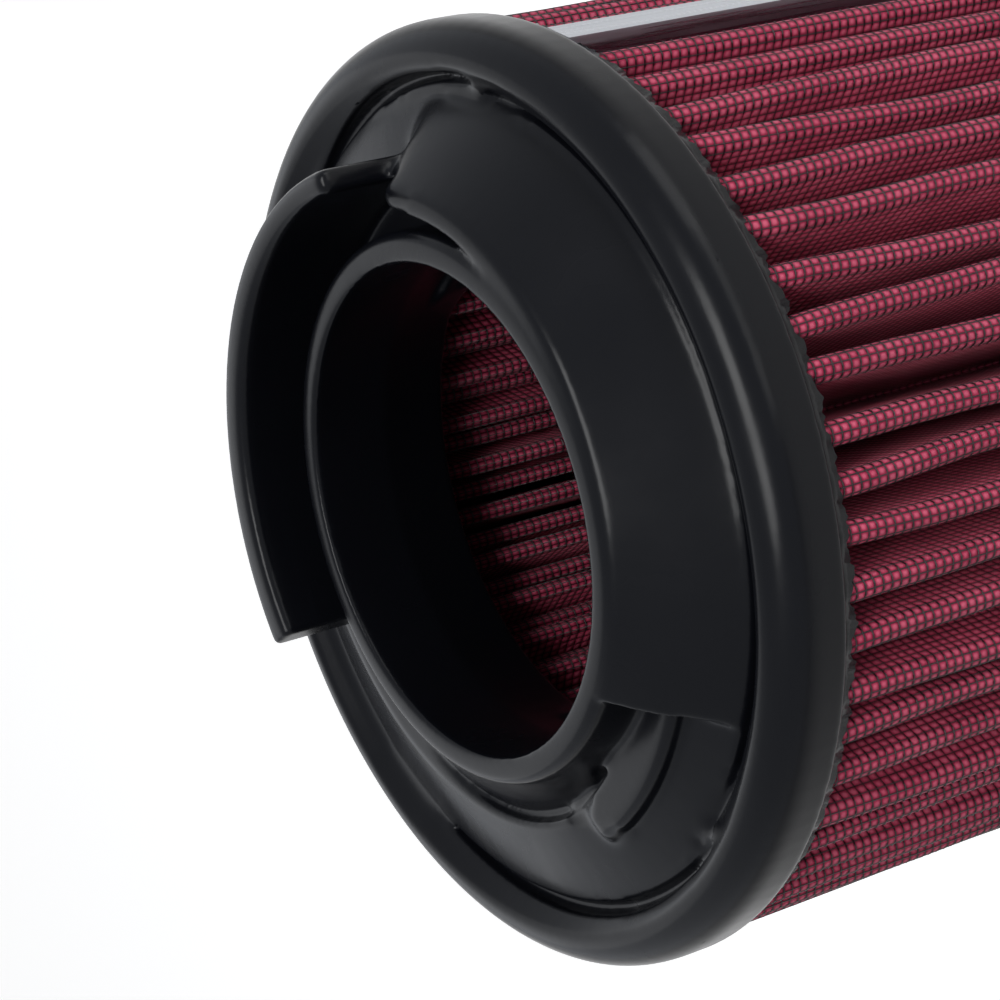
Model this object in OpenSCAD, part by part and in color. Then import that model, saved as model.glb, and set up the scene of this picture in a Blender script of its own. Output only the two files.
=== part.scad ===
// Round performance air filter for an engine's intake box. Folded cotton
// gauze stands between two wire screens, with a moulded soft cap on each end.
// The front cap carries an offset neck, a tall curved fin that starts a
// narrow channel round the neck, and a smooth dome that closes it.
// It stands on its closed rear cap. The axis is Z, and the neck points up.

/* [Element] */
// Outside diameter of both caps at the pleats
cap_d = 118; // [110:1:136]
// Length of pleats that shows between the caps
media_len = 202; // [120:1:260]
// How far the pleat ridges lie inside the cap's edge
ridge_step = 0.9; // [0.5:0.1:2]
// Radius of the open space inside the deepest folds
airway_r = 29; // [26:0.5:32]
// How much further out every second inner fold stops
fold_stagger = 2.5; // [1:0.5:4]
// Rounding of an outer fold
ridge_round = 1.6; // [1.4:0.1:2]
// Rounding of an inner fold
valley_round = 1.3; // [1.25:0.05:1.5]
// Least space between neighbouring inner folds
fold_gap = 0.5; // [0.4:0.1:1]
// Thickness of the cotton gauze
gauze_t = 0.8; // [0.6:0.05:0.9]
// Thickness of each wire screen
screen_t = 0.2; // [0.15:0.01:0.22]
// Width of the screen's openings along the ridges
opening_w = 2.4; // [1.6:0.1:2.8]
// Height of the screen's closed bands at its ends and between its openings
band_h = 3; // [2:0.5:8]

/* [Seam clip] */
// How many pleats the clip lies from the X axis
clip_pleat = 6; // [0:1:20]
// Sheet thickness of the clip
clip_t = 0.6; // [0.4:0.1:0.8]
// Depth of the clip's legs along the pleat
clip_depth = 9; // [6:0.5:14]

/* [Caps] */
// Height of the rear cap
rear_h = 12; // [9:0.5:18]
// Height of the front cap's rim above the pleats
rim_h = 8.9; // [8:0.1:12]
// Rounding of the rims' outer corner
rim_round = 5; // [3:0.5:6]
// Height of the short collar that enters the pleats
collar_h = 2; // [1:0.5:4]
// Space between the collar and the inner folds
collar_clear = 0.3; // [0.2:0.1:0.6]
// Wall of the collar where it is thinnest
collar_wall = 1.2; // [1:0.1:3]
// Thickness of the ledge that closes the folds' ends under the neck
ledge_t = 2.5; // [1.5:0.1:4]
// Width of the rear cap's foot ring
foot_w = 12; // [8:1:16]
// Depth of the rear cap's hollow middle
dish_depth = 2.5; // [1:0.5:4]

/* [Front face] */
// Radius at which the rim's land ends and the raised middle begins
land_r = 51.8; // [50:0.1:53]
// Height of the rim's land where it ends
land_h = 7; // [6:0.1:8]
// Width of the rim's land at its lowest
land_w = 1.6; // [1:0.1:3]
// Height of the raised middle where it begins
boss_edge_h = 6.5; // [5:0.1:7]
// Height of the raised middle's top
boss_h = 10.9; // [9:0.1:13]
// Radius of the raised middle's top
boss_top_r = 39.4; // [37:0.1:42]
// Outer radius of the three curved grooves, each about its own centre
groove_rs = [49.9, 50.2, 45.5];
// How far each groove's centre lies from the axis
groove_shifts = [2.3, 1.9, 7.4];
// Direction of each groove's centre
groove_turns = [-77, -161, -23];
// Where each groove is widest
groove_mids = [268, 172, 10];
// Angle from each groove's middle to its pointed ends
groove_spans = [84, 46, 46];
// Greatest width of the grooves
groove_w = 1.5; // [1:0.1:2]
// Depth of the grooves
groove_depth = 2.2; // [1:0.1:3]

/* [Neck] */
// Bore of the neck
neck_bore_d = 59.6; // [54:0.2:62]
// Wall of the neck
neck_wall = 3.7; // [3:0.1:4.5]
// How far the neck's centre lies from the filter's axis
neck_offset = 8.15; // [5:0.05:10]
// Height of the neck's mouth above the pleats
neck_h = 18.6; // [16:0.1:24]
// Rounding of the neck's lip
lip_round = 1.6; // [1:0.1:1.8]
// Radius of the neck's foot where it meets the raised middle
foot_r = 37.2; // [36:0.1:39]
// How far the foot's centre lies from the axis, away from the neck's
foot_shift = 1.5; // [0.5:0.1:5]
// Radius of the edge round the crease at the foot
crease_r = 30; // [28:0.1:33]
// How far the crease's centre lies from the axis
crease_shift = 8.9; // [7:0.1:10]
// Direction of the crease's centre
crease_turn = 170; // [160:1:185]
// Depth of that crease
crease_depth = 1.5; // [0.5:0.1:2]
// Radius of the bore where it meets the pleats
throat_r = 31.8; // [30:0.1:33]
// Height over which the bore widens to the pleats
throat_h = 8; // [3:0.5:12]

/* [Fin and channel] */
// Width of the channel between the neck and the fin
channel_w = 5.9; // [4:0.1:7]
// Height of the channel's floor above the pleats
channel_floor = 8.5; // [6:0.1:10]
// How far the channel's narrow tail runs on behind the dome's tip
tail_sweep = 35; // [25:1:45]
// Mean thickness of the fin
fin_t = 3.4; // [3:0.1:5]
// How much further out the fin's outer face lies at its free end
fin_flare = 1.3; // [0:0.1:2]
// Height of the fin above the pleats
fin_h = 23.8; // [20:0.1:28]
// Where the fin's free end is, about the neck
fin_end = 100; // [70:1:120]
// Where the fin's other end is, beside the dome's tip
fin_start = -7; // [-12:1:10]
// Rounding of the fin's corners and the pad's
edge_round = 1.2; // [0.6:0.1:1.6]

/* [Dome] */
// Where the dome's free tip is, about the ridge's centre
dome_tip = -19.5; // [-30:0.5:-16]
// Radius of the rounded ridge on the dome
ridge_bead = 1.7; // [1:0.1:2.5]
// Radius of the ridge's centre line
bead_r = 36.8; // [36:0.1:38]
// How far the ridge's top lies below the neck's mouth
ridge_drop = 0.2; // [0.1:0.1:1]
// How far the ridge draws in towards the neck
ridge_shift = 4.5; // [2:0.1:5]
// Direction in which the ridge's centre lies from the neck's
ridge_lean = 64; // [50:1:80]
// Radius to the dome's belly
belly_r = 43; // [40:0.1:45]
// Height of the dome's belly
belly_h = 13.5; // [11:0.1:15]
// Where the step at the dome's end is, about the axis
step_angle = 227; // [215:1:240]
// How far below the raised middle's edge the dome's edge sinks
edge_sink = 0.15; // [0.1:0.05:0.5]
// Where the dome's edge at the grooves runs out, about the axis
edge_end = 344; // [338:1:350]
// How far short of the tip the belly stops
belly_gap = 10; // [5:1:20]
// Rounding of the belly
belly_round = 1; // [0.5:0.1:2]
// Where the dome's foot meets the back of the fin, about the axis
heel_angle = 351; // [345:1:356]
// Height at which it meets the fin
heel_h = 8.5; // [7:0.1:10]

/* [Pad] */
// Outer radius of the pad below the step
pad_r = 43.6; // [40:0.1:46]
// Height of the pad at the step
pad_h = 11.4; // [11:0.1:13]
// Angle round the axis that the pad takes
pad_sweep = 37; // [20:1:50]
// How far the pad runs on under the dome
pad_lap = 4; // [2:1:8]
// Slope of the pad's top
pad_slope = 6; // [3:0.5:10]

/* [Hidden] */
$fn = 96;

black = [0.07, 0.07, 0.08];
crimson = [0.62, 0.10, 0.20];
wire_black = [0.10, 0.08, 0.09];
silver = [0.80, 0.81, 0.83];

cap_r = cap_d / 2;
media_r = cap_r - ridge_step;
wall_t = gauze_t + 2 * screen_t;
fold_r = airway_r + valley_round;
pleats = floor(360 / (2 * asin((valley_round + fold_gap / 2) / fold_r)));
pitch = 360 / pleats;
pack_z = rear_h;
face_z = rear_h + media_len;
collar_r = airway_r - collar_clear;
throat_limit = collar_r - collar_wall;
bore_r = neck_bore_d / 2;
neck_r = bore_r + neck_wall;
channel_r = neck_r + channel_w;
fin_r = channel_r + fin_t;
boss_r = land_r - land_w;
tip_x = ridge_shift * cos(ridge_lean) + bead_r * cos(dome_tip);
tip_y = ridge_shift * sin(ridge_lean) + bead_r * sin(dome_tip);
tip_turn = atan2(tip_y, tip_x);
bead_h = neck_h - ridge_drop - ridge_bead;
heel_r = fin_r - edge_round;
// How far cuts reach past what they cut
cut = 1;
// How far one shape sinks into another, so that no two faces coincide
sink = 0.3;
// How far the channel and its tail overlap
turn_lap = 0.5;

// Points of an arc about [x, y], from angle a to angle b
function arc(x, y, r, a, b, n) =
    [for (i = [0:n]) [x + r * cos(a + (b - a) * i / n), y + r * sin(a + (b - a) * i / n)]];

// Radius at which inner fold k stops
function fold_at(k) = fold_r + (k % 2) * fold_stagger;

// One face of the folded sheet, seen from the end, depth deep in the sheet
function fold_line(depth) = [
    for (k = [0:pleats - 1])
        let (a = k * pitch, b = a + pitch / 2, out = media_r - ridge_round, inn = fold_at(k))
        each concat(
            arc(out * cos(a), out * sin(a), ridge_round - depth, a - 90, a + 90, 6),
            arc(inn * cos(b), inn * sin(b), valley_round - wall_t + depth, b - 90, b - 270, 4))];

// A folded layer of the pack, between two depths in the sheet
module folded_layer(from, to) {
    translate([0, 0, pack_z])
        linear_extrude(height = media_len)
            difference() {
                polygon(fold_line(from));
                polygon(fold_line(to));
            }
}

// The cotton gauze that cleans the air
module gauze_pleats() {
    color(crimson)
        folded_layer(screen_t, screen_t + gauze_t);
}

// The wire screen outside the gauze, open along the ridges in two rows
module outer_screen() {
    row_h = (media_len - 3 * band_h) / 2;
    color(wire_black)
        difference() {
            folded_layer(0, screen_t);
            for (row = [0:1])
                translate([0, 0, pack_z + band_h + row * (row_h + band_h)])
                    linear_extrude(height = row_h)
                        for (k = [0:pleats - 1])
                            rotate(k * pitch)
                                translate([media_r - ridge_round, -opening_w / 2])
                                    square([2 * ridge_round, opening_w]);
        }
}

// The wire screen inside the gauze
module inner_screen() {
    color(wire_black)
        folded_layer(screen_t + gauze_t, wall_t);
}

// The folded strip that clamps the two ends of the pleated sheet on one pleat
module seam_clip() {
    half = ridge_round + clip_t;
    color(silver)
        rotate([0, 0, -clip_pleat * pitch])
            translate([media_r, 0, pack_z])
                linear_extrude(height = media_len)
                    difference() {
                        translate([-clip_depth, -half])
                            square([clip_depth + clip_t, 2 * half]);
                        translate([-clip_depth - cut, -ridge_round])
                            square([clip_depth + cut - ridge_round, 2 * ridge_round]);
                        translate([-ridge_round, 0])
                            circle(r = ridge_round);
                    }
}

// Outline of the front cap's turned body, from the axis outwards
module front_outline() {
    polygon(concat(
        [[0, 0], [cap_r, 0]],
        arc(cap_r - rim_round, rim_h - rim_round, rim_round, 0, 90, 8),
        [[land_r, land_h], [boss_r, boss_edge_h], [boss_top_r, boss_h], [0, boss_h]]));
}

// A curved groove that is widest in its middle and runs out to a point at each end
module arc_groove(radius, shift, turn, mid, span) {
    draw = groove_w / (1 - cos(span));
    translate(shift * [cos(turn), sin(turn), 0])
        difference() {
            translate([0, 0, land_h - groove_depth])
                cylinder(r = radius, h = fin_h);
            translate(-draw * [cos(mid), sin(mid), 0])
                cylinder(r = radius - groove_w + draw, h = 2 * fin_h);
        }
}

// A ring wall with a rounded top
module ring_wall(inner, outer, low, high, from, sweep) {
    rotate([0, 0, from])
        rotate_extrude(angle = sweep)
            polygon(concat(
                [[inner, low], [outer, low]],
                arc(outer - edge_round, high - edge_round, edge_round, 0, 90, 4),
                arc(inner + edge_round, high - edge_round, edge_round, 90, 180, 4)));
}

// The curved fin, thicker towards its free square end
module fin() {
    intersection() {
        ring_wall(channel_r, 2 * channel_r, boss_edge_h - cut, fin_h, fin_start, fin_end - fin_start);
        translate(fin_flare * [cos(fin_end), sin(fin_end), 0])
            ring_wall(2 * edge_round, fin_r, 0, fin_h, 0, 360);
    }
}

// Moves to the centre of the dome's ridge, which lies beside the neck's
module beside_neck() {
    translate(ridge_shift * [cos(ridge_lean), sin(ridge_lean), 0])
        children();
}

// The smooth dome that hugs the neck between its tip and its step
module dome() {
    past_step = 12;
    from = step_angle - past_step;
    sweep = 360 + dome_tip - from;
    difference() {
        hull() {
            beside_neck()
                rotate([0, 0, from])
                    rotate_extrude(angle = sweep)
                        translate([bead_r, bead_h])
                            circle(r = ridge_bead, $fn = 16);
            translate([0, neck_offset, 0]) {
                rotate([0, 0, from])
                    rotate_extrude(angle = edge_end - from)
                        translate([boss_r - belly_round, boss_edge_h - edge_sink - belly_round])
                            square(belly_round);
                rotate([0, 0, from])
                    rotate_extrude(angle = sweep - belly_gap)
                        translate([belly_r, belly_h])
                            circle(r = belly_round, $fn = 12);
                rotate([0, 0, heel_angle])
                    translate([heel_r, 0, heel_h - belly_round])
                        sphere(r = belly_round, $fn = 12);
            }
        }
        translate([0, neck_offset, boss_edge_h - 2 * belly_round])
            rotate([0, 0, step_angle - 90])
                cube([2 * cap_r, 2 * cap_r, fin_h]);
    }
}

// The sloping foot that carries the neck on the raised middle
module neck_foot() {
    hull() {
        translate([0, neck_offset + foot_shift, 0])
            cylinder(r = foot_r, h = boss_h - crease_depth + sink);
        cylinder(r = neck_r - sink, h = neck_h - lip_round - cut);
    }
}

// The neck's tube, still solid, with its rounded lip
module neck_tube() {
    rotate_extrude()
        polygon(concat([[0, 0], [neck_r, 0]],
            arc(neck_r - lip_round, neck_h - lip_round, lip_round, 0, 90, 5),
            [[0, neck_h]]));
}

// A slot that follows a circle, from its floor upwards
module ring_slot(inner, outer, low, from, sweep) {
    rotate([0, 0, from])
        rotate_extrude(angle = sweep)
            translate([inner, low])
                square([outer - inner, fin_h]);
}

// The channel round the neck, which narrows to nothing behind the dome's tip
module channel() {
    from = tip_turn + turn_lap;
    ring_slot(neck_r - cut, channel_r, channel_floor, from, fin_end - from);
    beside_neck()
        ring_slot(bead_r - ridge_bead - channel_w, bead_r - ridge_bead, channel_floor + sink,
                  dome_tip - tail_sweep, tail_sweep + 2 * turn_lap);
}

// The dome's free end, a post with a round top
module dome_end() {
    post_r = ridge_bead - sink / 2;
    translate([tip_x, tip_y, 0])
        rotate_extrude($fn = 32)
            polygon(concat(
                [[0, channel_floor - cut], [post_r, channel_floor - cut]],
                arc(0, bead_h, post_r, 0, 90, 6)));
}

// The pad at the foot of the dome's step, which sinks into the face
module pad() {
    inside = neck_r - neck_offset;
    difference() {
        rotate([0, 0, step_angle - pad_sweep])
            rotate_extrude(angle = pad_sweep + pad_lap)
                polygon(concat(
                    [[inside, 0], [pad_r, 0]],
                    arc(pad_r - edge_round, pad_h - edge_round, edge_round, 0, 90, 4),
                    [[inside, pad_h]]));
        rotate([0, 0, step_angle])
            translate([0, -2 * cap_r, pad_h])
                rotate([pad_slope, 0, 0])
                    translate([0, -cap_r, 0])
                        cube([2 * cap_r, 4 * cap_r, fin_h]);
    }
}

// The crease round the neck's foot and along the pad, pointed at both ends
module crease() {
    translate([crease_shift * cos(crease_turn), crease_shift * sin(crease_turn), boss_h - crease_depth])
        cylinder(r = crease_r, h = fin_h);
}

// The cap's face with the grooves and the channel, before the neck is added
module front_face() {
    difference() {
        union() {
            difference() {
                union() {
                    rotate_extrude()
                        front_outline();
                    pad();
                }
                crease();
            }
            translate([0, -neck_offset, 0]) {
                neck_foot();
                dome();
            }
        }
        for (k = [0:2])
            arc_groove(groove_rs[k], groove_shifts[k], groove_turns[k], groove_mids[k], groove_spans[k]);
        translate([0, -neck_offset, 0])
            channel();
    }
}

// The way through the cap: the neck's bore above, and the ledge's opening below
module airway() {
    low = -collar_h - cut;
    translate([0, -neck_offset, 0])
        cylinder(r = bore_r, h = neck_h + cut);
    intersection() {
        translate([0, -neck_offset, low])
            cylinder(r1 = throat_r, r2 = bore_r, h = throat_h - low);
        union() {
            translate([0, 0, low])
                cylinder(r = throat_limit, h = 2 * throat_h);
            translate([0, 0, ledge_t])
                cylinder(r = cap_r, h = throat_h);
        }
    }
}

// The front cap, one soft moulding
module front_cap() {
    color(black)
        translate([0, 0, face_z])
            difference() {
                union() {
                    front_face();
                    translate([0, 0, -collar_h])
                        cylinder(r = collar_r, h = collar_h + cut);
                    translate([0, -neck_offset, 0]) {
                        neck_tube();
                        fin();
                        dome_end();
                    }
                }
                airway();
            }
}

// The closed rear cap that the filter stands on
module rear_cap() {
    rear_r = cap_r - rim_round;
    color(black)
        difference() {
            union() {
                rotate_extrude()
                    polygon(concat(
                        [[0, 0]],
                        arc(rear_r, rim_round, rim_round, -90, 0, 8),
                        [[cap_r, rear_h], [0, rear_h]]));
                cylinder(r = collar_r, h = rear_h + collar_h);
            }
            translate([0, 0, -cut])
                cylinder(r1 = rear_r - foot_w + cut, r2 = rear_r - foot_w - dish_depth,
                         h = dish_depth + cut);
        }
}

front_cap();
rear_cap();
gauze_pleats();
outer_screen();
inner_screen();
seam_clip();
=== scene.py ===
# Looks of a round performance air filter: crimson cotton gauze folded between
# black wire screens, and a satin black moulded cap on each end.
import math

import bmesh
import bpy
import numpy as np
from mathutils import Matrix, Vector


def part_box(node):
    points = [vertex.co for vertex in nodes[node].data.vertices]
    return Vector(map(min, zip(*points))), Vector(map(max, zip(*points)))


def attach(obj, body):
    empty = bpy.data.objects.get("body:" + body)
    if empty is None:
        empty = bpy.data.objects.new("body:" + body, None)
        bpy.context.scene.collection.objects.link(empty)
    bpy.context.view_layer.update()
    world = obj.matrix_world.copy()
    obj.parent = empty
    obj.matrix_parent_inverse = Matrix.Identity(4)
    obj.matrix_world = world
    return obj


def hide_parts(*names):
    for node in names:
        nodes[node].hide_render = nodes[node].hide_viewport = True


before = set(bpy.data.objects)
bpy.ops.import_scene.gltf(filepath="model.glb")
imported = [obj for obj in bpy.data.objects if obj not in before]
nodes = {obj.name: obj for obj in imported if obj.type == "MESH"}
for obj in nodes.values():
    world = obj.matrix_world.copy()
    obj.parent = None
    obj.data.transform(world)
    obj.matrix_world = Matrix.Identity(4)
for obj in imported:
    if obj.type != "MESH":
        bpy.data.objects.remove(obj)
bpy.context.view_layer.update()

# The object's sizes are in millimetres. Times MM they are in metres, as Blender has them.
MM = 0.001

# The folded pack, from the frame
PACK_LOW, PACK_HIGH = (round(corner[2] / MM, 3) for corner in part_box("gauze_pleats"))
PACK_TALL = PACK_HIGH - PACK_LOW
RIDGE_R = round(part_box("outer_screen")[1][0] / MM, 3)

# The folded sheet, as the solids have it. RIDGE_OUT and FOLD_IN are the distances
# of the folds' centres from the axis, where every second inner fold lies further out.
PLEATS = 60
PITCH = math.radians(360 / PLEATS)
RIDGE_ROUND = 1.6
RIDGE_OUT = RIDGE_R - RIDGE_ROUND
FOLD_ROUND = 1.3
FOLD_IN = (30.3, 32.8)
# How thick the gauze and its screens are together, and how deep the gauze's faces lie
SHEET = 1.2
GAUZE_DEPTHS = (0.17, 1.03)
# The pleat that the clip clamps, counted from the X axis
CLIP_PLEAT = -6

# The wire screens, and the cells that the gauze shows along one pleat, over its
# ridge and round its inner fold
CELL = 1.25
ROWS = int(PACK_TALL / CELL)
WIRE_R = 0.08
PLEAT_CELLS = 52
RIDGE_CELLS = 4
FOLD_CELLS = 3

# The centre of the front cap's neck along Y
NECK_Y = -8.15


# Shader nodes


def colour(text):
    """The linear colour of an sRGB hex value."""
    parts = [int(text[i : i + 2], 16) / 255 for i in (1, 3, 5)]
    return [c / 12.92 if c <= 0.04045 else ((c + 0.055) / 1.055) ** 2.4 for c in parts] + [1]


def add(tree, kind, sockets=(), stops=(), **settings):
    """Adds a shader node, and sets or links its sockets and colour stops. Returns its first output."""
    made = tree.nodes.new("ShaderNode" + kind)
    for name, value in settings.items():
        setattr(made, name, value)
    for name, value in dict(sockets).items():
        if isinstance(value, bpy.types.NodeSocket):
            tree.links.new(value, made.inputs[name])
        else:
            made.inputs[name].default_value = value
    if stops:
        elements = made.color_ramp.elements
        for place, _ in stops[1:-1]:
            elements.new(place)
        for element, (place, text) in zip(elements, stops):
            element.position = place
            element.color = colour(text)
    return made.outputs[0]


def material(name, shader, build):
    """A material with these constant shader sockets. build links its patterns."""
    made = bpy.data.materials.new(name)
    made.use_nodes = True
    bsdf = made.node_tree.nodes["Principled BSDF"]
    for socket, value in shader.items():
        bsdf.inputs[socket].default_value = value
    build(made.node_tree, bsdf)
    return made


# Cast polyurethane, satin from its mould: near-black and soft in its gloss. The
# gloss clouds over about 14 mm, and the mould's fine grain, near 1 mm, blurs it.
def polyurethane_skin(tree, bsdf):
    place = add(tree, "TexCoord").node.outputs["Object"]
    cloud = add(tree, "TexNoise", {"Vector": place, "Scale": 70, "Detail": 3})
    span = {"From Min": 0.3, "From Max": 0.7, "To Min": 0.20, "To Max": 0.30}
    gloss = add(tree, "MapRange", {"Value": cloud, **span})
    tree.links.new(gloss, bsdf.inputs["Roughness"])
    grain = add(tree, "TexNoise", {"Vector": place, "Scale": 900, "Detail": 2})
    bump = add(tree, "Bump", {"Height": grain, "Strength": 0.25, "Distance": 0.03 * MM})
    tree.links.new(bump, bsdf.inputs["Normal"])


polyurethane = material(
    "satin_black_polyurethane",
    {"Base Color": colour("#0A0B0F"), "IOR": 1.5, "Specular IOR Level": 0.12},
    polyurethane_skin,
)


# Dyed cotton gauze, plain-woven, in four layers: it bulges as a small pillow
# through each opening of the screen, and the wire over it is dark. Each pillow's
# colour is painted lighter at its top, a painted highlight, and darker where it dips
# under the wire, painted shade, over the gauze's own crimson. The thread pitch is
# drawn at about 0.3 mm, which is coarser than the real yarn, so that it shows.
# The dye varies in patches of about 6 mm.
def gauze_weave_and_pillow_shade(tree, bsdf):
    along = add(tree, "UVMap", uv_map="cells")
    split = add(tree, "SeparateXYZ", {0: along}).node
    waves, threads = [], []
    for axis, threads_in_cell in (("X", 4.2), ("Y", 4.6)):
        cell = split.outputs[axis]
        turn = add(tree, "Math", {0: cell, 1: math.pi}, operation="MULTIPLY")
        wave = add(tree, "Math", {0: turn}, operation="SINE")
        waves.append(add(tree, "Math", {0: wave}, operation="ABSOLUTE"))
        turn = add(tree, "Math", {0: cell, 1: 2 * math.pi * threads_in_cell}, operation="MULTIPLY")
        threads.append(add(tree, "Math", {0: turn}, operation="SINE"))
    least = add(tree, "Math", {0: waves[0], 1: waves[1]}, operation="MINIMUM")
    pillow = add(tree, "Math", {0: waves[0], 1: waves[1]}, operation="MULTIPLY")
    thread = add(tree, "Math", {0: threads[0], 1: threads[1]}, operation="MULTIPLY")
    place = add(tree, "TexCoord").node.outputs["Object"]
    patch = add(tree, "TexNoise", {"Vector": place, "Scale": 160, "Detail": 4})
    tone = add(tree, "Math", {0: patch, 1: 0.5, 2: -0.25}, operation="MULTIPLY_ADD")
    tone = add(tree, "Math", {0: thread, 1: 0.06, 2: tone}, operation="MULTIPLY_ADD")
    # Painted light: the pillow's shape sets the colour below, lighter at its top as a painted
    # highlight and darker at its edges under the wire as painted shade
    lift = add(tree, "Math", {0: pillow, 1: 0.45}, operation="POWER")
    lift = add(tree, "Math", {0: lift, 1: tone}, operation="ADD")
    dye_and_pillow_shade = [(0.0, "#3A0E1A"), (0.35, "#6E1A30"), (0.75, "#A22F4C"), (1.0, "#C0566E")]
    shaded_dye = add(tree, "ValToRGB", {"Fac": lift}, dye_and_pillow_shade)
    cloth = add(tree, "MapRange", {"Value": least, "From Min": 0.08, "From Max": 0.20})
    mixed = add(tree, "MixRGB", {"Fac": cloth, "Color1": colour("#16080C"), "Color2": shaded_dye})
    tree.links.new(mixed, bsdf.inputs["Base Color"])
    height = add(tree, "Math", {0: pillow, 1: 0.6}, operation="POWER")
    height = add(tree, "Math", {0: thread, 1: 0.08, 2: height}, operation="MULTIPLY_ADD")
    bump = add(tree, "Bump", {"Height": height, "Strength": 0.9, "Distance": 0.22 * MM})
    tree.links.new(bump, bsdf.inputs["Normal"])


cotton = material(
    "crimson_cotton_gauze",
    {"Roughness": 0.7, "Specular IOR Level": 0.2, "Sheen Weight": 0.06, "Sheen Roughness": 0.4},
    gauze_weave_and_pillow_shade,
)


# Wire, woven into a screen and coated with epoxy: black with a thin gloss, browner
# in patches of about 2.5 mm, where the oil of the gauze has stained it.
def wire_coat(tree, bsdf):
    place = add(tree, "TexCoord").node.outputs["Object"]
    stain = add(tree, "TexNoise", {"Vector": place, "Scale": 400, "Detail": 1})
    coat = add(tree, "ValToRGB", {"Fac": stain}, [(0.35, "#120A0D"), (0.75, "#2C1A20")])
    tree.links.new(coat, bsdf.inputs["Base Color"])


coated_wire = material("epoxy_coated_wire", {"Roughness": 0.38, "IOR": 1.5}, wire_coat)


# Bare aluminium strip, rolled along its length: fine lines that run up the pack,
# about 0.7 mm apart, which is coarser than the real ones, so that they show.
def rolled_lines(tree, bsdf):
    place = add(tree, "TexCoord").node.outputs["Object"]
    drawn = add(tree, "Mapping", {"Vector": place, "Scale": (1, 1, 0.02)})
    line = add(tree, "TexNoise", {"Vector": drawn, "Scale": 1400, "Detail": 2})
    span = {"From Min": 0.3, "From Max": 0.7, "To Min": 0.2, "To Max": 0.38}
    gloss = add(tree, "MapRange", {"Value": line, **span})
    tree.links.new(gloss, bsdf.inputs["Roughness"])


aluminium = material(
    "rolled_aluminium", {"Base Color": colour("#A0A3A9"), "Metallic": 1.0}, rolled_lines
)


# Meshes and pieces


def to_mesh(bm, name):
    """The bmesh as a mesh. The bmesh itself goes."""
    mesh = bpy.data.meshes.new(name)
    bm.to_mesh(mesh)
    bm.free()
    return mesh


def in_scene(name, data):
    """An object of this mesh, light or camera, in the scene."""
    made = bpy.data.objects.new(name, data)
    bpy.context.scene.collection.objects.link(made)
    return made


def finish(name, mesh, look, slot_name, *stands_for):
    """Makes the piece, gives it its material and ties it to the frame."""
    for face in mesh.polygons:
        face.use_smooth = True
    mesh.materials.clear()
    mesh.materials.append(look)
    piece = in_scene(name, mesh)
    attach(piece, "root")
    if stands_for:
        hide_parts(*stands_for)


def shown(piece):
    """A new mesh of the piece with its modifiers applied. The piece itself goes."""
    bpy.context.view_layer.update()
    done = piece.evaluated_get(bpy.context.evaluated_depsgraph_get())
    mesh = bpy.data.meshes.new_from_object(done)
    bpy.data.objects.remove(piece)
    return mesh


def places(mesh):
    """The mesh's points in millimetres."""
    flat = np.empty(len(mesh.vertices) * 3, np.float32)
    mesh.vertices.foreach_get("co", flat)
    return flat.reshape(-1, 3) / MM


def pulled(bm, edges, way):
    """Pulls a run of edges out into faces. Returns the run's new points and edges."""
    made = bmesh.ops.extrude_edge_only(bm, edges=edges)["geom"]
    points = [v for v in made if isinstance(v, bmesh.types.BMVert)]
    bmesh.ops.translate(bm, verts=points, vec=way)
    run = [e for e in made if isinstance(e, bmesh.types.BMEdge) and all(v in points for v in e.verts)]
    return points, run


def copies(bm, count, turn=0.0, rise=0.0):
    """Repeats all that bm holds, each copy turned and raised from the one before."""
    bmesh.ops.spin(
        bm, geom=bm.verts[:] + bm.edges[:] + bm.faces[:], cent=(0, 0, 0), axis=(0, 0, 1),
        angle=turn * (count - 1), dvec=(0, 0, rise * MM), steps=count - 1, use_duplicate=True,
    )


# The moulded caps


def step(x, low, high):
    """0 below low, 1 above high, and a smooth rise between them."""
    t = np.clip((x - low) / (high - low), 0, 1)
    return t * t * (3 - 2 * t)


def window(turn, low, high, fade):
    """1 where the angle lies between low and high degrees, fading to 0 outside them."""
    middle, half = (low + high) / 2, (high - low) / 2
    return 1 - step(np.abs((turn - middle + 180) % 360 - 180), half, half + fade)


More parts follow.
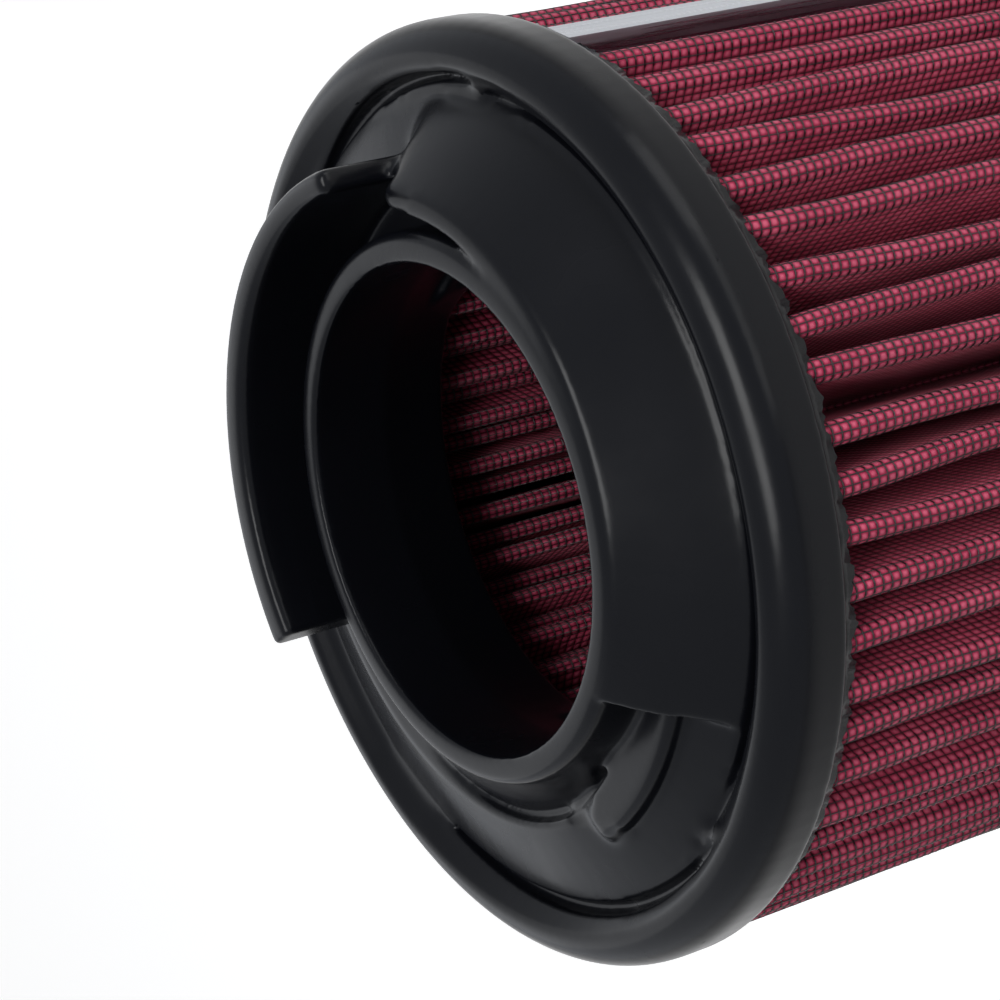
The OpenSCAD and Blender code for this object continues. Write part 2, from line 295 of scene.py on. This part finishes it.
def soft_share(points):
    """How much each point of the front cap belongs to a soft blend of the moulding.

    Each region is told by its distance from the neck's axis, its distance from the
    cap's axis and its height, in millimetres.
    """
    x, y, z = points.T
    r, turn = np.hypot(x, y), np.degrees(np.arctan2(y, x)) % 360
    neck_r = np.hypot(x, y - NECK_Y)
    flank = step(neck_r, 38.6, 40.5) * (1 - step(r, 48.8, 49.9)) * step(z, 221.2, 222.2)
    tip = step(neck_r, 43.2, 44.4) * (1 - step(r, 49.2, 50.2)) * step(z, 219.8, 220.6)
    groove = step(r, 46.6, 47.6) * (1 - step(r, 53.4, 54.4)) * step(z, 217, 218)
    groove *= 1 - step(z, 223, 224)
    below_fin = 1 - step(z, 226.5, 227.5)
    pad = step(neck_r, 39.8, 40.8) * (1 - step(r, 44.5, 46)) * below_fin
    tail = (1 - step(np.hypot(x + 36.5, y + 5), 3, 5)) * step(neck_r, 34.4, 35) * below_fin
    tongue = (1 - step(np.hypot(x - 37.5, y + 18), 2.5, 5.5)) * step(z, 223.5, 224.5)
    # The share, the region, its first and last angle in degrees, and its fade
    blends = [
        (1, flank, 236, 337, 8),
        (1, tip, 338, 350, 4),
        (0.15, flank, 220, 236, 4),
        (0.15, groove, 184, 218, 5),
        (0.15, groove, 322, 354, 5),
        (0.5, groove, 203, 215, 4),
        (0.5, groove, 325, 337, 4),
        (0.5, groove, 52, 58, 5),
        (0.5, groove, 122, 130, 5),
        (0.5, pad, 186, 193, 5),
    ]
    shares = [share * region * window(turn, *angles) for share, region, *angles in blends]
    return np.maximum.reduce(shares + [0.5 * tail, 0.3 * tongue])


def skinned(piece, voxel, rounds):
    """Lays an even skin over the piece and rounds its edges."""
    skin = piece.modifiers.new("skin", "REMESH")
    skin.mode = "VOXEL"
    skin.voxel_size = voxel * MM
    even = piece.modifiers.new("even", "SMOOTH")
    even.factor = 0.5
    even.iterations = rounds


def eased(piece, rounds, levels=8):
    """Smooths the piece further, as far as each point belongs to a soft blend."""
    share = soft_share(places(piece.data))
    group = piece.vertex_groups.new(name="soft")
    for level in range(1, levels + 1):
        near = np.nonzero(np.round(share * levels) == level)[0]
        group.add(near.tolist(), level / levels, "REPLACE")
    ease = piece.modifiers.new("ease", "SMOOTH")
    ease.vertex_group = "soft"
    ease.factor = 0.5
    ease.iterations = rounds


def moulded(name, node, voxel, rounds, most_triangles, soft_rounds=0):
    """The node's solid with the small round edges and fillets that a cast part has.

    voxel is the skin's fineness in millimetres, and the rounds are rounds of smoothing.
    """
    bm = bmesh.new()
    bm.from_mesh(nodes[node].data)
    bmesh.ops.remove_doubles(bm, verts=bm.verts, dist=0.002 * MM)
    piece = in_scene("blank", to_mesh(bm, "blank"))
    skinned(piece, voxel, rounds)
    piece = in_scene("blank", shown(piece))
    if soft_rounds:
        # The second skin takes away the thin remnants between grooves that the blends leave
        eased(piece, soft_rounds)
        skinned(piece, voxel, rounds=8)
    fewer = piece.modifiers.new("fewer", "DECIMATE")
    fewer.ratio = min(1, most_triangles / (2 * len(piece.data.polygons)))
    finish(name, shown(piece), polyurethane, "cap_moulding", node)


def fringe(name, edge, drop):
    """The thin scalloped flash that the casting leaves on the folds at a cap's edge.

    It hangs down from the edge by about drop millimetres, or stands up if that is below 0.
    """
    flash_r, points_in_pleat, tuck = 58.3, 12, 0.93
    bm = bmesh.new()
    bmesh.ops.create_circle(
        bm, cap_ends=False, segments=PLEATS * points_in_pleat, radius=flash_r * MM,
        matrix=Matrix.Translation((0, 0, edge * MM)),
    )
    hem = pulled(bm, bm.edges[:], (0, 0, -drop * MM))[1]
    deep = pulled(bm, hem, (0, 0, 0))[0]
    bmesh.ops.scale(bm, verts=deep, vec=(tuck, tuck, 1))
    for v in bm.verts:
        k = math.atan2(v.co.y, v.co.x) / PITCH
        valley = 0.5 - 0.5 * math.cos(2 * math.pi * k)
        if abs(v.co.z / MM - edge) > 0.1:
            # Three waves that don't fall together leave the hem ragged
            ragged = 0.35 * math.sin(7.3 * k) + 0.3 * math.sin(17.9 * k + 1) + 0.25 * math.sin(41 * k)
            v.co.z -= drop * MM * (1.1 * valley + 0.55 * ragged)
        # The flash sinks a little into each valley
        v.co.x *= 1 - 0.012 * valley
        v.co.y *= 1 - 0.012 * valley
    bmesh.ops.recalc_face_normals(bm, faces=bm.faces)
    finish(name, to_mesh(bm, name), polyurethane, "cap_moulding")


# The gauze and its screens


def sway(mesh):
    """Lets the ridges wander a little, as hand-set pleats do. The clipped one stays straight."""
    points = places(mesh)
    r, turn = np.hypot(points[:, 0], points[:, 1]), np.arctan2(points[:, 1], points[:, 0])
    k = np.round(turn / PITCH) % PLEATS
    z = points[:, 2] - PACK_LOW
    # Nothing moves below the first radius, and all of it above the second
    still_r, free_r = 45, 58
    weight = np.clip((r - still_r) / (free_r - still_r), 0, 1) ** 2
    weight *= np.minimum(np.abs(k - CLIP_PLEAT % PLEATS), 3) / 3
    # Waves in millimetres: sideways, outwards, and the drift of the screen's rows
    side = 0.6 * np.sin(z * 0.034 + k * 2.39) + 0.28 * np.sin(z * 0.081 + k * 4.1)
    side += 0.4 * np.sin(k * 1.7) + 0.12 * np.sin(z * 0.21 + k * 5.3)
    out = 0.22 * np.sin(z * 0.05 + k * 3.3) + 0.10 * np.sin(z * 0.13 + k * 1.3)
    drift = 0.4 * np.sin(19 * turn + z * 0.02) + 0.2 * np.sin(37 * turn + z * 0.11)
    # The caps hold the sheet's ends, so there nothing stands out or drifts
    between_caps = np.sqrt(np.abs(np.sin(np.clip(z / PACK_TALL, 0, 1) * math.pi)))
    points[:, 2] += weight * between_caps * drift
    turn = turn + weight * side / np.maximum(r, 1)
    r = r + weight * between_caps * out
    points[:, 0] = r * np.cos(turn)
    points[:, 1] = r * np.sin(turn)
    mesh.vertices.foreach_set("co", (points * MM).ravel())
    mesh.update()


def chain(bm, along, depth):
    """Two pleats of the sheet's profile at one depth, as a run of edges along the pack's low end."""
    ridge_r, fold_r = RIDGE_ROUND - depth, FOLD_ROUND - SHEET + depth
    ridge_parts, fold_parts = 6, 4
    # For each point, its fold's centre as a distance and an angle, then the point's
    # radius and angle about that, and the cell that it starts
    points = []
    for k in (0, 1):
        ridge, fold = k * PITCH, (k + 0.5) * PITCH
        start = PLEAT_CELLS * k
        for i in range(ridge_parts + 1):
            facing = ridge - math.pi / 2 + math.pi * i / ridge_parts
            points.append((RIDGE_OUT, ridge, ridge_r, facing, start + RIDGE_CELLS * i / ridge_parts))
        start += PLEAT_CELLS / 2
        for i in range(fold_parts + 1):
            facing = fold - math.pi / 2 - math.pi * i / fold_parts
            points.append((FOLD_IN[k], fold, fold_r, facing, start + FOLD_CELLS * i / fold_parts))
    points.append((RIDGE_OUT, 2 * PITCH, ridge_r, 2 * PITCH - math.pi / 2, 2 * PLEAT_CELLS))
    verts = []
    for reach, turn, radius, facing, cells in points:
        x = reach * math.cos(turn) + radius * math.cos(facing)
        y = reach * math.sin(turn) + radius * math.sin(facing)
        v = bm.verts.new((x * MM, y * MM, PACK_LOW * MM))
        v[along] = cells
        verts.append(v)
    return [bm.edges.new(pair) for pair in zip(verts, verts[1:])]


def gauze(steps=28):
    """The gauze sheet: both of its faces, drawn up the pack and repeated round it."""
    bm = bmesh.new()
    along = bm.verts.layers.float.new("along")
    cells = bm.loops.layers.uv.new("cells")
    low_ends, high_ends = [], []
    for depth in GAUZE_DEPTHS:
        edges = chain(bm, along, depth)
        low_ends += edges
        for _ in range(steps):
            edges = pulled(bm, edges, (0, 0, PACK_TALL / steps * MM))[1]
        high_ends += edges
    for face in bm.faces:
        for loop in face.loops:
            loop[cells].uv = (loop.vert[along], (loop.vert.co.z / MM - PACK_LOW) / CELL)
    bmesh.ops.bridge_loops(bm, edges=low_ends)
    bmesh.ops.bridge_loops(bm, edges=high_ends)
    copies(bm, PLEATS // 2, turn=2 * PITCH)
    bmesh.ops.remove_doubles(bm, verts=bm.verts, dist=0.005 * MM)
    bmesh.ops.recalc_face_normals(bm, faces=bm.faces)
    mesh = to_mesh(bm, "gauze")
    sway(mesh)
    finish("gauze_sheet", mesh, cotton, "gauze", "gauze_pleats")


def wire(bm, place, centre, turn, rise, parts):
    """A three-sided wire, drawn from its end at place round the centre or upwards."""
    end = bmesh.ops.create_circle(bm, cap_ends=True, segments=3, radius=WIRE_R * MM, matrix=place)
    bmesh.ops.spin(
        bm, geom=[end["verts"][0].link_faces[0]], cent=centre, axis=(0, 0, 1),
        angle=turn, dvec=(0, 0, rise * MM), steps=parts,
    )


def bent_wire(bm, fold, start, turn, reach, parts):
    """The lowest crosswise wire of one fold, bent round the fold's centre."""
    centre = Vector((fold, 0, PACK_LOW + CELL)) * MM
    place = (
        Matrix.Translation(centre)
        @ Matrix.Rotation(math.radians(start), 4, "Z")
        @ Matrix.Translation(Vector((reach, 0, 0)) * MM)
        @ Matrix.Rotation(math.pi / 2, 4, "X")
    )
    wire(bm, place, centre, math.radians(turn), 0, parts)


def long_wire(bm, fold, angle, reach, parts):
    """A wire along the pack, at an angle and a reach from the fold's centre."""
    x = fold + reach * math.cos(math.radians(angle))
    y = reach * math.sin(math.radians(angle))
    place = Matrix.Translation(Vector((x, y, PACK_LOW)) * MM)
    wire(bm, place, (0, 0, 0), 0, PACK_TALL / parts, parts)


def set_round(bm, first, turn):
    """Turns the wires of one fold to the first of their folds and repeats them on the rest."""
    bmesh.ops.rotate(bm, verts=bm.verts, cent=(0, 0, 0), matrix=Matrix.Rotation(first * PITCH, 3, "Z"))
    copies(bm, PLEATS // 2, turn=turn)
    bmesh.ops.recalc_face_normals(bm, faces=bm.faces)


def outer_wires(name, first):
    """The outer screen on half of the ridges."""
    bm = bmesh.new()
    bent_wire(bm, RIDGE_OUT, -100, 200, 1.50, 5)
    copies(bm, ROWS, rise=CELL)
    for angle in (-90, -45, 0, 45, 90):
        long_wire(bm, RIDGE_OUT, angle, 1.42, 28)
    set_round(bm, first, PITCH)
    mesh = to_mesh(bm, name)
    sway(mesh)
    finish(name, mesh, coated_wire, "screen_wire", "outer_screen")


def inner_wires(name, first):
    """The inner screen on every second inner fold."""
    bm = bmesh.new()
    bent_wire(bm, FOLD_IN[first], 95, 170, 1.20, 4)
    copies(bm, ROWS, rise=CELL)
    for angle in (120, 180, 240):
        long_wire(bm, FOLD_IN[first], angle, 1.12, 1)
    set_round(bm, first + 0.5, 2 * PITCH)
    finish(name, to_mesh(bm, name), coated_wire, "screen_wire", "inner_screen")


moulded(
    "front_cap_moulding", "front_cap", voxel=0.3, rounds=12, most_triangles=192000, soft_rounds=300
)
moulded("rear_cap_moulding", "rear_cap", voxel=0.7, rounds=8, most_triangles=40000)
fringe("front_cap_fringe", edge=PACK_HIGH, drop=1.0)
fringe("rear_cap_fringe", edge=PACK_LOW, drop=-1.0)
gauze()
outer_wires("outer_wires_near", first=-45)
outer_wires("outer_wires_far", first=-15)
inner_wires("inner_wires_deep", first=0)
inner_wires("inner_wires_shallow", first=1)

strip = nodes["seam_clip"]
strip.data.materials.clear()
strip.data.materials.append(aluminium)


# The stage, the light and the camera


def background_rays(tree):
    """1 for the rays that show the white background: camera, glossy and transmission rays."""
    path = add(tree, "LightPath").node
    camera_or_glossy = add(
        tree, "Math", {0: path.outputs["Is Camera Ray"], 1: path.outputs["Is Glossy Ray"]},
        operation="MAXIMUM",
    )
    passed = path.outputs["Is Transmission Ray"]
    return add(tree, "Math", {0: camera_or_glossy, 1: passed}, operation="MAXIMUM")


# Matt white paper. What is seen of it is lifted to the backdrop's white, and the
# shadow stays.
def lifted(tree, bsdf):
    lift = add(tree, "MapRange", {"Value": background_rays(tree), "To Min": 0.0, "To Max": 0.50})
    tree.links.new(lift, bsdf.inputs["Emission Strength"])


white_paper = material(
    "white_paper",
    {"Base Color": colour("#FCFCFC"), "Roughness": 0.9, "Emission Color": colour("#FFFFFF")},
    lifted,
)


def paper_floor(half_width=6):
    """The sheet of paper that the filter stands on. Its half width is in metres."""
    bm = bmesh.new()
    bmesh.ops.create_grid(bm, x_segments=1, y_segments=1, size=half_width)
    floor = in_scene("floor", to_mesh(bm, "floor"))
    floor.data.materials.append(white_paper)


def studio_world(light=0.09, seen=1.0):
    """Even pale light from all round, and a white background where it is seen."""
    world = bpy.data.worlds.new("studio")
    world.use_nodes = True
    bpy.context.scene.world = world
    tree = world.node_tree
    back = tree.nodes["Background"]
    back.inputs["Color"].default_value = colour("#F4F8FF")
    level = {"Value": background_rays(tree), "To Min": light, "To Max": seen}
    tree.links.new(add(tree, "MapRange", level), back.inputs["Strength"])


def softbox(name, place, aim, size, power):
    """A rectangular lamp at place that faces aim. Its sizes are in metres and its power in watts."""
    light = bpy.data.lights.new(name, "AREA")
    light.shape = "RECTANGLE"
    light.size, light.size_y = size
    light.energy = power
    lamp = in_scene(name, light)
    lamp.location = place
    lamp.rotation_euler = (Vector(aim) - Vector(place)).to_track_quat("-Z", "Y").to_euler()
    lamp.visible_camera = False


def photo_camera(place, aim, roll, lens):
    """The camera at the photograph's viewing angle, in metres, degrees and, for the lens, millimetres.

    The filter lies on its side in the photograph, so the camera is rolled.
    """
    camera = bpy.data.cameras.new("camera")
    camera.sensor_width = 36
    camera.lens = lens
    camera.clip_start = 0.01
    view = in_scene("camera", camera)
    look = (Vector(aim) - Vector(place)).to_track_quat("-Z", "Y").to_matrix().to_4x4()
    view.matrix_world = Matrix.Translation(place) @ look @ Matrix.Rotation(math.radians(roll), 4, "Z")
    bpy.context.scene.camera = view


paper_floor()
studio_world()
softbox("key", place=(0.90, -0.69, 0.25), aim=(0, 0, 0.13), size=(0.5, 0.5), power=2.4)
softbox("low", place=(0.45, -1.15, 0.12), aim=(0, 0, 0.12), size=(1.0, 0.4), power=3.0)
softbox("top", place=(0.05, -0.58, 1.2), aim=(0, 0, 0.18), size=(0.9, 0.4), power=12.0)
softbox("back", place=(0.1, 1.2, 0.85), aim=(0, 0, 0.2), size=(1.4, 1.0), power=2.7)
photo_camera(
    place=(-0.02381, -0.31425, 0.40697), aim=(0.00005, -0.00391, 0.222), roll=-105.103, lens=108
)
bpy.context.scene.view_settings.view_transform = "Standard"
